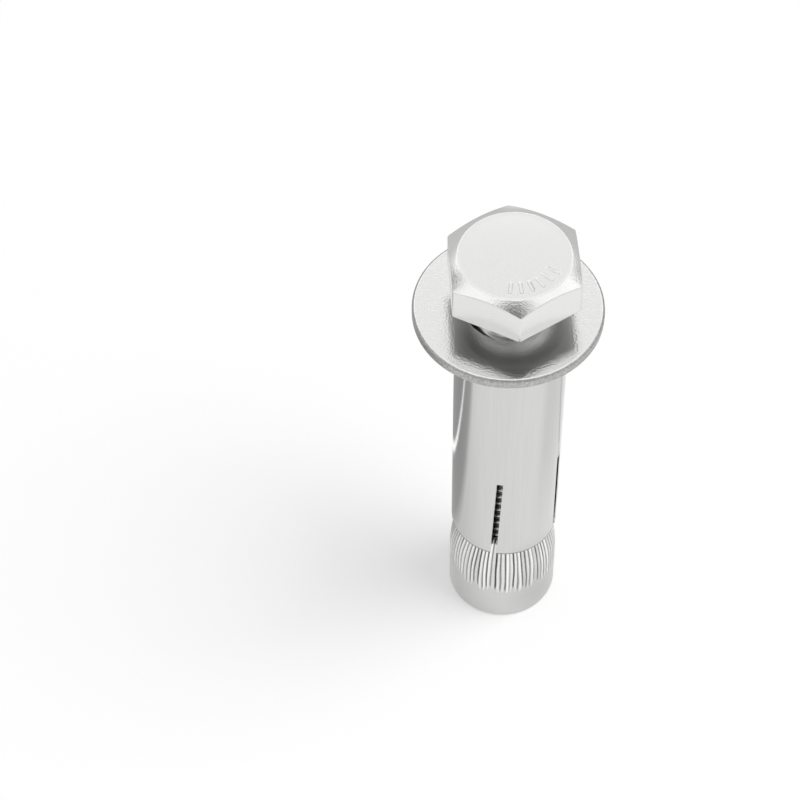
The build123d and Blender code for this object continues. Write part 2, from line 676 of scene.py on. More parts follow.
@dataclass(frozen=True)
class Punched(SteelFinish):
    """Punched sheet: a fine tumbled grain on its faces, and a dull sheared rim."""

    centre: Point = (-0.45 * MM, 0.0, 0.0)
    sheared_rim: Fade = Fade(9.69 * MM, 9.75 * MM)
    raggedness: float = 0.08 * MM
    spot_size: float = 0.15 * MM
    spot_stretch: Point = (1, 1, 2)
    spot_contrast: Fade = Fade(0.4, 0.6, before=0.65)

    def patch(self, steel: SurfaceTree) -> bpy.types.NodeSocket:
        """The sheared rim, ragged at its edge and speckled.

        Args:
            steel: The material in the making.

        Returns:
            Where the patches are, from 0 to 1.
        """
        spots = steel.speckle(self.spot_size, self.spot_stretch, detail=1)
        links = {0: spots, 2: steel.radius(self.centre)}
        ragged = steel.add(MATH, {**TIMES_PLUS, 1: self.raggedness}, links)
        rim = steel.add(MAP_RANGE, self.sheared_rim.settings, {"Value": ragged})
        speckled = steel.add(MAP_RANGE, self.spot_contrast.settings, {"Value": spots})
        return steel.add(MATH, TIMES, {0: rim, 1: speckled})


@dataclass(frozen=True)
class Drawn(SteelFinish):
    """Drawn tube: polished along its length by the die, with hardly any grain."""

    bore: Fade = Fade(5.4 * MM, 5.2 * MM)
    # A painted shadow line along the mouth's edge, where it sits on the taper.
    mouth: Fade = Fade(12.92 * MM, 12.78 * MM)

    def patch(self, steel: SurfaceTree) -> bpy.types.NodeSocket:
        """The bore, which is darker and duller, and the cut edge of the mouth, where a painted shadow lies.

        Args:
            steel: The material in the making.

        Returns:
            Where the patches are, from 0 to 1.
        """
        inside = steel.add(MAP_RANGE, self.bore.settings, {"Value": steel.radius()})
        edge = steel.add(MAP_RANGE, self.mouth.settings, {"Value": steel.height()})
        return steel.add(MATH, LARGER, {0: inside, 1: edge})


@dataclass(frozen=True)
class Turned(SteelFinish):
    """Turned steel: faint tool lines round it, a duller skin with painted shade in its grooves, and painted
    highlights on its crests.
    """

    line_strength: float = 0.2
    crest_highlight_level: Fade = Fade(0.0, 1.0, before=0.55, after=0.2)
    painted_groove_shade: Fade = Fade(0.15, 0.75)

    def grain(self, steel: SurfaceTree) -> bpy.types.NodeSocket:
        """Tool lines round the axis, and a painted highlight along the ridges' crests.

        Args:
            steel: The material in the making.

        Returns:
            The pattern, around 0.5.
        """
        lines = super().grain(steel)
        painted_crest = steel.add("ShaderNodeAttribute", {"attribute_name": PAINTED_CREST_HIGHLIGHT}, output="Fac")
        level = steel.add(MAP_RANGE, self.crest_highlight_level.settings, {"Value": painted_crest})
        return steel.add(MATH, {**TIMES_PLUS, 1: self.line_strength}, {0: lines, 2: level})

    def patch(self, steel: SurfaceTree) -> bpy.types.NodeSocket:
        """Painted shade and a duller skin in the grooves between the ridges, from the depth that the mesh
        carries.
        """
        depth = steel.add("ShaderNodeAttribute", {"attribute_name": PAINTED_GROOVE_SHADE}, output="Fac")
        return steel.add(MAP_RANGE, self.painted_groove_shade.settings, {"Value": depth})


# Satin and even: it shows soft pale reflections, and the frosted crown breaks up their borders.
BOLT_STEEL = ColdForged(
    name="Cold-forged stainless steel",
    pale="#E7E7E6",
    dark="#E3E3E2",
    # The patch colour is painted shade under the head, with a share of it on the thread.
    patch_and_shade_colour="#AAAAA9",
    roughness=0.19,
    patch_roughness=0.42,
    grain_size=0.15 * MM,
    relief=0.0003 * MM,
    patch_relief=0.019 * MM,
)
# A tumbled skin breaks up reflections into fine grains. The real grain is finer than a pixel, so it is
# drawn coarser.
WASHER_STEEL = Punched(
    name="Tumbled stainless steel",
    pale="#E6E6E5",
    dark="#E2E2E1",
    patch_and_shade_colour="#A6A6A5",
    roughness=0.16,
    patch_roughness=0.4,
    grain_size=0.21 * MM,
    relief=0.022 * MM,
    patch_relief=0.03 * MM,
)
# The draw die leaves a bright skin, so the tube mirrors the studio in long soft bands.
SLEEVE_STEEL = Drawn(
    name="Drawn stainless steel tube",
    pale="#D3D3D2",
    dark="#CFCFCE",
    # The patch colour darkens the bore, and along the mouth's edge it is painted shadow.
    patch_and_shade_colour="#7E7E7D",
    roughness=0.15,
    patch_roughness=0.4,
    grain_size=0.15 * MM,
    relief=0.0002 * MM,
    patch_relief=0.001 * MM,
    grain_stretch=(1, 1, 60),
)
# The band keeps faint tool lines. The rolled ridges get a painted highlight on top in the pale colour, and
# painted shade in their grooves in the patch colour.
NUT_STEEL = Turned(
    name="Turned stainless steel",
    pale="#FCFCFB",
    dark="#CECECD",
    patch_and_shade_colour="#6A6A69",
    roughness=0.2,
    patch_roughness=0.4,
    grain_size=0.12 * MM,
    relief=0.0004 * MM,
    patch_relief=0.002 * MM,
    grain_stretch=(200, 200, 1),
)


class Piece:
    """One piece of the bolt: it stands in for a CAD node and rides on that node's body."""

    node: ClassVar[str]
    body: ClassVar[str]
    slot: ClassVar[str]
    name: ClassVar[str]

    def build(self) -> bpy.types.Object:
        """Builds the piece's mesh in its finish."""
        raise NotImplementedError

    def place(self) -> bpy.types.Object:
        """Builds the piece and puts it in its CAD node's place.

        Returns:
            The piece.
        """
        piece = self.build()
        smoothing = piece.modifiers.new("Flat faces stay flat", "WEIGHTED_NORMAL")
        smoothing.keep_sharp = True
        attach(piece, self.body)
        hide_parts(self.node)
        logging.info("%s: %d faces, on body %s", piece.name, len(piece.data.polygons), self.body)
        return piece


@dataclass(frozen=True)
class StampedRing:
    """A ring of the head's top, where plain ticks are stamped. The top bulges a little from rim to middle."""

    top: float
    rim: float
    bulge: float
    inner_radius: float = 3.4 * MM
    outer_radius: float = 5.1 * MM
    ticks: int = 6
    tick_middle: float = 4.25 * MM
    tick_half_length: float = 0.55 * MM
    tick_half_width: float = 0.12 * MM
    tick_depth: float = 0.1 * MM
    edge_width: float = 0.1 * MM
    first_azimuth: float = math.radians(262)
    azimuth_step: float = math.radians(14)
    columns: int = 720
    rows: int = 17

    def height(self, radius: float) -> float:
        """The height of the bulging top at a radius."""
        return self.top - self.bulge * (radius / self.rim) ** 2

    def mesh(self, finish: bpy.types.Material) -> bpy.types.Mesh:
        """Builds the ring.

        Args:
            finish: The material that the mesh carries.

        Returns:
            The ring, with its lower edge outside and its upper edge inside.
        """
        lathe = LatheTree("Stamped ring", {
            "Points round": self.columns + 1,
            "Points along": self.rows,
            **named_sizes(self, "top", "bulge", "rim", "inner_radius", "outer_radius", "edge_width"),
            **named_sizes(self, "ticks", "tick_middle", "tick_half_length", "tick_half_width", "tick_depth"),
            **named_sizes(self, "first_azimuth", "azimuth_step"),
        })
        add, sizes = lathe.add, lathe.sizes
        span = {"Value": lathe.along, "To Min": sizes["Outer radius"], "To Max": sizes["Inner radius"]}
        radius = add(MAP_RANGE, {}, span)
        share = add(MATH, OVER, {0: radius, 1: sizes["Rim"]})
        drop = add(MATH, TIMES, {0: share, 1: share})
        drop = add(MATH, TIMES, {0: drop, 1: sizes["Bulge"]})

        swing = add(MATH, MINUS, {0: lathe.azimuth, 1: sizes["First azimuth"]})
        steps = add(MATH, OVER, {0: swing, 1: sizes["Azimuth step"]})
        last = add(MATH, {**MINUS, 1: 1.0}, {0: sizes["Ticks"]})
        nearest = add(MATH, {"operation": "ROUND"}, {0: steps})
        nearest = add("ShaderNodeClamp", {"Min": 0.0}, {"Value": nearest, "Max": last})
        off = add(MATH, MINUS, {0: steps, 1: nearest})
        off = add(MATH, TIMES, {0: off, 1: sizes["Azimuth step"]})
        across = add(MATH, TIMES, {0: off, 1: radius})
        out = add(MATH, MINUS, {0: radius, 1: sizes["Tick middle"]})
        out = add(MATH, ABSOLUTE, {0: out})
        out = add(MATH, MINUS, {0: out, 1: sizes["Tick half length"]})
        out = add(MATH, {**LARGER, 1: 0.0}, {0: out})
        gap = add("ShaderNodeCombineXYZ", {}, {"X": across, "Y": out})
        away = add(VECTOR_MATH, LENGTH, {0: gap}, "Value")
        wall = add(MATH, MINUS, {0: away, 1: sizes["Tick half width"]})
        edges = {"Value": wall, "From Max": sizes["Edge width"], "To Min": sizes["Tick depth"]}
        stamp = add(MAP_RANGE, {**SMOOTH, "From Min": 0.0, "To Max": 0.0}, edges)

        height = add(MATH, MINUS, {0: sizes["Top"], 1: drop})
        height = add(MATH, MINUS, {0: height, 1: stamp})
        return lathe.mesh(lathe.around(radius, height), finish)


@dataclass
class HexBolt(Piece):
    """The hex bolt: a forged head with a coned crown over a fully threaded shank."""

    node = "hex_bolt"
    body = "bolt"
    slot = "bolt_steel"
    name = "forged_hex_bolt"

    across_flats: float = 13.0 * MM
    head_height: float = 4.7 * MM
    head_turn: float = math.radians(2.5)
    corner_rounding: float = 0.25 * MM
    crown_radius: float = 5.8 * MM
    crown_slope: float = math.tan(math.radians(30))
    crown_rounding: float = 0.3 * MM
    upper_edge_rounding: float = 0.12 * MM
    lower_edge_rounding: float = 0.15 * MM
    face_radius: float = 5.4 * MM
    bulge: float = 0.08 * MM
    bearing_height: float = 0.3 * MM
    bearing_rounding: float = 0.08 * MM
    bearing_groove_rounding: float = 0.05 * MM
    bearing_inner_radius: float = 5.0 * MM
    neck_rounding: float = 0.12 * MM
    shank_radius: float = 4.0 * MM
    thread_depth: float = 0.7 * MM
    point_chamfer: float = 0.8 * MM
    run_out: float = 1.2 * MM
    columns_per_flat: int = 24
    columns_per_corner: int = 6
    top_rings: int = 4

    def _hexagon(self) -> Outline:
        """The head's outline from above.

        Returns:
            Azimuth and radius of each point, round the axis.
        """
        apothem, rounding = self.across_flats / 2, self.corner_rounding
        centre = (apothem - rounding) / math.cos(SIXTH_TURN / 2)
        points = []
        for side in range(6):
            corner = self.head_turn + SIXTH_TURN * side - FULL_TURN / 4
            for i in range(self.columns_per_corner + 1):
                swing = SIXTH_TURN * (i / self.columns_per_corner - 0.5)
                x, y = centre + rounding * math.cos(swing), rounding * math.sin(swing)
                points.append((corner + math.atan2(y, x), math.hypot(x, y)))
            reach = points[-1][0] - corner
            for i in range(1, self.columns_per_flat):
                offset = reach + (SIXTH_TURN - 2 * reach) * i / self.columns_per_flat
                points.append((corner + offset, apothem / math.cos(offset - SIXTH_TURN / 2)))
        return points

    def _section(self, radius: float, top: float) -> Outline:
        """The head's outline on one side, from near its top's rim to its bearing face.

        Args:
            radius: The hexagon's radius on that side.
            top: The height of the head's top.

        Returns:
            Radius and height of each point.
        """
        under = top - self.head_height
        edge = top - (radius - self.crown_radius) * self.crown_slope
        face = under - self.bearing_height
        return rounded([
            (self.face_radius, top - self.bulge, 0),
            (self.crown_radius, top - self.bulge, self.crown_rounding),
            (radius, edge, self.upper_edge_rounding),
            (radius, under, self.lower_edge_rounding),
            (self.crown_radius, under, self.bearing_groove_rounding),
            (self.crown_radius, face, self.bearing_rounding),
            (self.bearing_inner_radius, face, 0),
        ])

    def build(self) -> bpy.types.Object:
        """Joins the head, the neck and the thread into one skin.

        Returns:
            The bolt.
        """
        low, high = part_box(self.node)
        finish = BOLT_STEEL.material()
        shell = Shell()
        hexagon = self._hexagon()
        sections = [self._section(radius, high.z) for _, radius in hexagon]
        head = [
            shell.ring(round_point(radius, azimuth, height)
                       for (azimuth, _), (radius, height) in zip(hexagon, row))
            for row in zip(*sections)
        ]
        shell.stack(head)
        marks = StampedRing(high.z, self.face_radius, self.bulge)
        outside, inside = shell.include(marks.mesh(finish))
        shell.bridge(head[0], outside)
        steps = [marks.inner_radius * (1 - i / self.top_rings) for i in range(1, self.top_rings)]
        shell.cap(shell.extend(inside, [(radius, marks.height(radius)) for radius in steps]))
        face = high.z - self.head_height - self.bearing_height
        neck = face - self.neck_rounding
        thread = Thread(
            side=ThreadSide.SHANK,
            outer_radius=self.shank_radius,
            inner_radius=self.shank_radius - self.thread_depth,
            bottom=low.z,
            top=neck,
            end_radius=self.shank_radius - self.point_chamfer,
            end_length=self.point_chamfer,
            run_out=self.run_out,
        )
        point, collar = shell.include(thread.mesh(finish))
        fillet = rounded([
            (self.shank_radius, neck, 0),
            (self.shank_radius, face, self.neck_rounding),
            (self.shank_radius + self.neck_rounding, face, 0),
        ])
        # The fillet's first two points lie on the collar already, and its last two are one.
        shell.bridge(shell.extend(collar, fillet[2:-1]), head[-1])
        shell.cap(point)
        return shell.finish(self.name, finish)


@dataclass
class FlatWasher(Piece):
    """The loose washer, punched from sheet, with the upper rim that the punch rolled over."""

    node = "flat_washer"
    body = "washer"
    slot = "washer_steel"
    name = "punched_washer"

    hole_radius: float = 4.6 * MM
    rolled_rim: float = 0.35 * MM
    lower_rim: float = 0.06 * MM
    hole_rim: float = 0.1 * MM
    columns: int = 240

    def build(self) -> bpy.types.Object:
        """Turns the washer's section round its own axis, which hangs to one side of the bolt's.

        Returns:
            The washer.
        """
        low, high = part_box(self.node)
        radius = (high.x - low.x) / 2
        middle = (self.hole_radius + radius) / 2
        shell = Shell(Vector(((low.x + high.x) / 2, (low.y + high.y) / 2, 0)))
        section = rounded([
            (middle, low.z, 0),
            (radius, low.z, self.lower_rim),
            (radius, high.z, self.rolled_rim),
            (self.hole_radius, high.z, self.hole_rim),
            (self.hole_radius, low.z, self.lower_rim),
            (middle, low.z, 0),
        ], steps=5)
        shell.turned(section, even_azimuths(self.columns))
        return shell.finish(self.name, WASHER_STEEL.material())


@dataclass(frozen=True)
class Slot:
    """Where one saw pass goes through one side of the sleeve's wall."""

    azimuth: float
    lean: float


@dataclass
class ExpansionSleeve(Piece):
    """The tube over the shank: two saw passes across its mouth leave four tabs that spread on the taper."""

    node = "expansion_sleeve"
    body = "sleeve"
    slot = "sleeve_steel"
    name = "slotted_sleeve"

    bore_radius: float = 5.05 * MM
    slot_length: float = 13.5 * MM
    slot_width: float = 0.7 * MM
    slots: tuple[Slot, ...] = (
        Slot(math.radians(-101.5), math.radians(2)),
        Slot(math.radians(-20.5), 0.0),
        Slot(math.radians(78.5), math.radians(-2)),
        Slot(math.radians(159.5), 0.0),
    )
    rim_rounding: float = 0.15 * MM
    edge_rounding: float = 0.04 * MM
    sharp_angle: float = math.radians(50)
    columns_per_tab: int = 40
    columns_per_slot: int = 4
    slot_rows: int = 8
    tube_rows: int = 8

    def _slot_side(self, slot: Slot, side: int, radius: float, rise: float) -> float:
        """The azimuth of a slot's lower (-1) or upper (1) edge, at a radius and a rise over its middle."""
        offset = rise * math.tan(slot.lean) + side * self.slot_width / 2
        return slot.azimuth + math.asin(offset / radius)

    def _row(
        self,
        shell: Shell,
        radius: float,
        height: float,
        mouth: float,
    ) -> list[bmesh.types.BMVert | None]:
        """Adds one row of points round the tube.

        Args:
            shell: The skin that gets them.
            radius: The wall's radius in this row.
            height: The row's height.
            mouth: The height of the sleeve's mouth.

        Returns:
            The points by column, with None in the middle of a slot.
        """
        roof = mouth + self.slot_length
        rise = min(height, roof) - mouth - self.slot_length / 2
        row: list[bmesh.types.BMVert | None] = []
        for slot, following in zip(self.slots, self.slots[1:] + self.slots[:1]):
            first, second = (self._slot_side(slot, side, radius, rise) for side in (-1, 1))
            further = self._slot_side(following, -1, radius, rise)
            further += FULL_TURN if further < second else 0
            for i in range(self.columns_per_slot):
                open_here = height < roof - MERGE_DISTANCE and i > 0
                azimuth = first + (second - first) * i / self.columns_per_slot
                row.append(None if open_here else shell.bm.verts.new(round_point(radius, azimuth, height)))
            for i in range(self.columns_per_tab):
                azimuth = second + (further - second) * i / self.columns_per_tab
                row.append(shell.bm.verts.new(round_point(radius, azimuth, height)))
        return row

    def build(self) -> bpy.types.Object:
        """Builds both walls column by column, closes them and breaks the saw's sharp edges.

        Returns:
            The sleeve.
        """
        low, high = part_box(self.node)
        radius, mouth, top = (high.x - low.x) / 2, low.z, high.z
        roof, rim = mouth + self.slot_length, self.rim_rounding
        edge = rounded([(0.0, mouth, 0), (radius, mouth, rim), (radius, top, rim), (0.0, top, 0)])[1:-1]
        half = len(edge) // 2
        slotted, plain = roof - mouth - rim, top - rim - roof
        between = [mouth + rim + slotted * i / self.slot_rows for i in range(1, self.slot_rows + 1)]
        between += [roof + plain * i / self.tube_rows for i in range(1, self.tube_rows)]
        outline = edge[:half] + [(radius, height) for height in between] + edge[half:]
        shell = Shell()
        outer = [self._row(shell, row_radius, height, mouth) for row_radius, height in outline]
        inner = [self._row(shell, self.bore_radius, height, mouth) for _, height in outline]
        for wall in (outer, inner):
            for below, above in zip(wall, wall[1:]):
                for i, start in enumerate(below):
                    following = (i + 1) % len(below)
                    corners = (start, below[following], above[following], above[i])
                    if None not in corners:
                        shell.bm.faces.new(corners)
        self._close(shell, outer, inner)
        piece = shell.finish(self.name, SLEEVE_STEEL.material())
        broken = piece.modifiers.new("Broken edges", "BEVEL")
        broken.width = self.edge_rounding
        broken.segments = 2
        broken.limit_method = "ANGLE"
        broken.angle_limit = self.sharp_angle
        return piece

    def _close(self, shell: Shell, outer: list[Ring], inner: list[Ring]) -> None:
        """Joins the outer wall to the inner one along every open edge.

        Args:
            shell: The skin that holds both walls.
            outer: The outer wall's points, row by row.
            inner: The inner wall's points, row by row.
        """
        partner = {out: inside for rows in zip(outer, inner) for out, inside in zip(*rows) if out}
        open_edges = [e for e in shell.bm.edges if e.is_boundary and e.verts[0] in partner]
        for open_edge in open_edges:
            start, end = open_edge.verts
            shell.bm.faces.new((start, end, partner[end], partner[start]))


@dataclass(frozen=True)
class RidgedTaper:
    """The nut's outside from its band to its tip: an arched taper with rolled ridges along it."""

    bottom: float
    top: float
    band_radius: float
    band_height: float = 6.5 * MM
    arc_radius: float = 14.96 * MM
    ridges: int = 72
    columns_per_ridge: int = 12
    rows: int = 56
    groove_depth: float = 0.24 * MM
    groove_start: float = 4.7 * MM
    stagger: float = 0.9 * MM
    fade_length: float = 1.3 * MM
    groove_sharpness: float = 2.4
    waviness: float = 0.8
    wave_size: float = 1.1 * MM
    wave_flatness: float = 0.2
    groove_forces: Fade = Fade(0.0, 1.0, before=0.45)
    crest_highlight_spread: Fade = Fade(0.0, 1.0, before=0.15)
    crest_highlight_flank: Fade = Fade(0.15, 0.4)
    # Each groove's depth and each crest's painted highlight draw their own luck from the seed, and these keep
    # the two apart.
    groove_draws: float = 3.7
    crest_highlight_draws: float = 5.3
    seed: int = 7

    def mesh(self, finish: bpy.types.Material) -> bpy.types.Mesh:
        """Builds the taper as an open tube.

        Args:
            finish: The material that the mesh carries.

        Returns:
            The tube, with one edge at the bottom and one at the top.
        """
        lathe = LatheTree("Ridged taper", {
            "Points round": self.ridges * self.columns_per_ridge + 1,
            "Points along": self.rows + 1,
            **named_sizes(self, "ridges", "bottom", "top", "band_radius", "band_height", "arc_radius"),
            **named_sizes(self, "groove_depth", "groove_start", "stagger", "fade_length", "waviness", "seed"),
        })
        add, sizes = lathe.add, lathe.sizes
        span = {"Value": lathe.along, "To Min": sizes["Bottom"], "To Max": sizes["Top"]}
        height = add(MAP_RANGE, {"clamp": False}, span)
        above = add(MATH, MINUS, {0: height, 1: sizes["Band height"]})
        rise = add(MATH, {**LARGER, 1: 0.0}, {0: above})
        rise_squared = add(MATH, TIMES, {0: rise, 1: rise})
        arc_squared = add(MATH, TIMES, {0: sizes["Arc radius"], 1: sizes["Arc radius"]})
        rest = add(MATH, MINUS, {0: arc_squared, 1: rise_squared})
        reach = add(MATH, {"operation": "SQRT"}, {0: rest})
        centre = add(MATH, MINUS, {0: sizes["Band radius"], 1: sizes["Arc radius"]})
        body = add(MATH, PLUS, {0: centre, 1: reach})

        drum = lathe.around(sizes["Band radius"], height)
        drum = add(VECTOR_MATH, {**TIMES, 1: (1, 1, self.wave_flatness)}, {0: drum})
        cloud = {"noise_dimensions": "4D", "Scale": 1 / self.wave_size, "Detail": 1.0}
        waves = add(NOISE, cloud, {"Vector": drum, "W": sizes["Seed"]})
        swing = add(MATH, {**MINUS, 1: 0.5}, {0: waves})
        swing = add(MATH, TIMES, {0: swing, 1: sizes["Waviness"]})
        count = add(MATH, TIMES_PLUS, {0: lathe.turn, 1: sizes["Ridges"], 2: swing})
        nearest = add(MATH, {"operation": "ROUND"}, {0: count})
        groove = add(MATH, {"operation": "WRAP", 2: 0.0}, {0: nearest, 1: sizes["Ridges"]})
        label = add(MATH, {**TIMES_PLUS, 1: self.groove_draws}, {0: sizes["Seed"], 2: groove})
        luck = add(WHITE_NOISE, {"noise_dimensions": "1D"}, {"W": label})
        other = add(MATH, {**PLUS, 1: 0.5}, {0: label})
        force = add(WHITE_NOISE, {"noise_dimensions": "1D"}, {"W": other})

        late = add(MATH, {**MINUS, 1: 0.5}, {0: luck})
        start = add(MATH, TIMES_PLUS, {0: late, 1: sizes["Stagger"], 2: sizes["Groove start"]})
        full = add(MATH, PLUS, {0: start, 1: sizes["Fade length"]})
        fade = add(MAP_RANGE, SMOOTH, {"Value": height, "From Min": start, "From Max": full})
        aside = add(MATH, {"operation": "PINGPONG", 1: 0.5}, {0: count})
        away = add(MATH, {**TIMES_PLUS, 1: -2.0, 2: 1.0}, {0: aside})
        cut = add(MATH, {"operation": "POWER", 1: self.groove_sharpness}, {0: away})
        uneven = add(MAP_RANGE, self.groove_forces.settings, {"Value": force})
        depth = add(MATH, TIMES, {0: cut, 1: uneven})
        share = add(MATH, TIMES, {0: depth, 1: fade})
        depth = add(MATH, TIMES, {0: share, 1: sizes["Groove depth"]})
        radius = add(MATH, MINUS, {0: body, 1: depth})

        # A painted highlight along each ridge's crest, stronger on some ridges than on others.
        ridge = add(MATH, {"operation": "FLOOR"}, {0: count})
        ridge = add(MATH, {"operation": "WRAP", 2: 0.0}, {0: ridge, 1: sizes["Ridges"]})
        label = add(MATH, {**TIMES_PLUS, 1: self.crest_highlight_draws}, {0: sizes["Seed"], 2: ridge})
        shine = add(WHITE_NOISE, {"noise_dimensions": "1D"}, {"W": label})
        shine = add(MAP_RANGE, self.crest_highlight_spread.settings, {"Value": shine})
        highlight_across = add(MAP_RANGE, self.crest_highlight_flank.settings, {"Value": aside})
        painted_crest = add(MATH, TIMES, {0: highlight_across, 1: fade})
        painted_crest = add(MATH, TIMES, {0: painted_crest, 1: shine})
        return lathe.mesh(lathe.around(radius, height), finish, marks={PAINTED_GROOVE_SHADE: share, PAINTED_CREST_HIGHLIGHT: painted_crest})


@dataclass
class ConeNut(Piece):
    """The cone nut: a plain band at the foot, the ridged taper over it, and a threaded bore."""

    node = "cone_nut"
    body = "nut"
    slot = "nut_steel"
    name = "ridged_cone_nut"

    taper_start: float = 4.1 * MM
    tip_chamfer: float = 0.4 * MM
    foot_chamfer: float = 0.25 * MM
    foot_rounding: float = 0.12 * MM
    thread_outer: float = 4.07 * MM
    thread_inner: float = 3.4 * MM
    bore_chamfer: float = 0.12 * MM

    def build(self) -> bpy.types.Object:
        """Joins the taper, the foot and the threaded bore into one skin.

        Returns:
            The nut.
        """
        low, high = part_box(self.node)
        radius = (high.x - low.x) / 2
        finish = NUT_STEEL.material()
        shell = Shell()
        taper = RidgedTaper(low.z + self.taper_start, high.z - self.tip_chamfer, radius)
        band, tip = shell.include(taper.mesh(finish))
        thread = Thread(
            side=ThreadSide.BORE,
            outer_radius=self.thread_outer,
            inner_radius=self.thread_inner,
            bottom=low.z,
            top=high.z,
            end_radius=self.thread_outer + self.bore_chamfer,
            end_length=self.bore_chamfer + self.thread_outer - self.thread_inner,
        )
        lower_bore, upper_bore = shell.include(thread.mesh(finish))
        foot = rounded([
            (radius, low.z + self.taper_start, 0),
            (radius, low.z + self.foot_chamfer, self.foot_rounding),
            (radius - self.foot_chamfer, low.z, self.foot_rounding),
            (self.thread_outer + 2 * self.bore_chamfer, low.z, 0),
        ])
        shell.bridge(shell.extend(band, foot[1:]), lower_bore)
        tip_radius = min(math.hypot(vert.co.x, vert.co.y) for vert in tip) - self.tip_chamfer / 2
        shell.bridge(shell.extend(tip, [(tip_radius, high.z)]), upper_bore)
        return shell.finish(self.name, finish)


def grey(level: float) -> tuple[float, float, float, float]:
    """A grey of the studio, by the share of light that it gives."""
    return level, level, level, 1.0


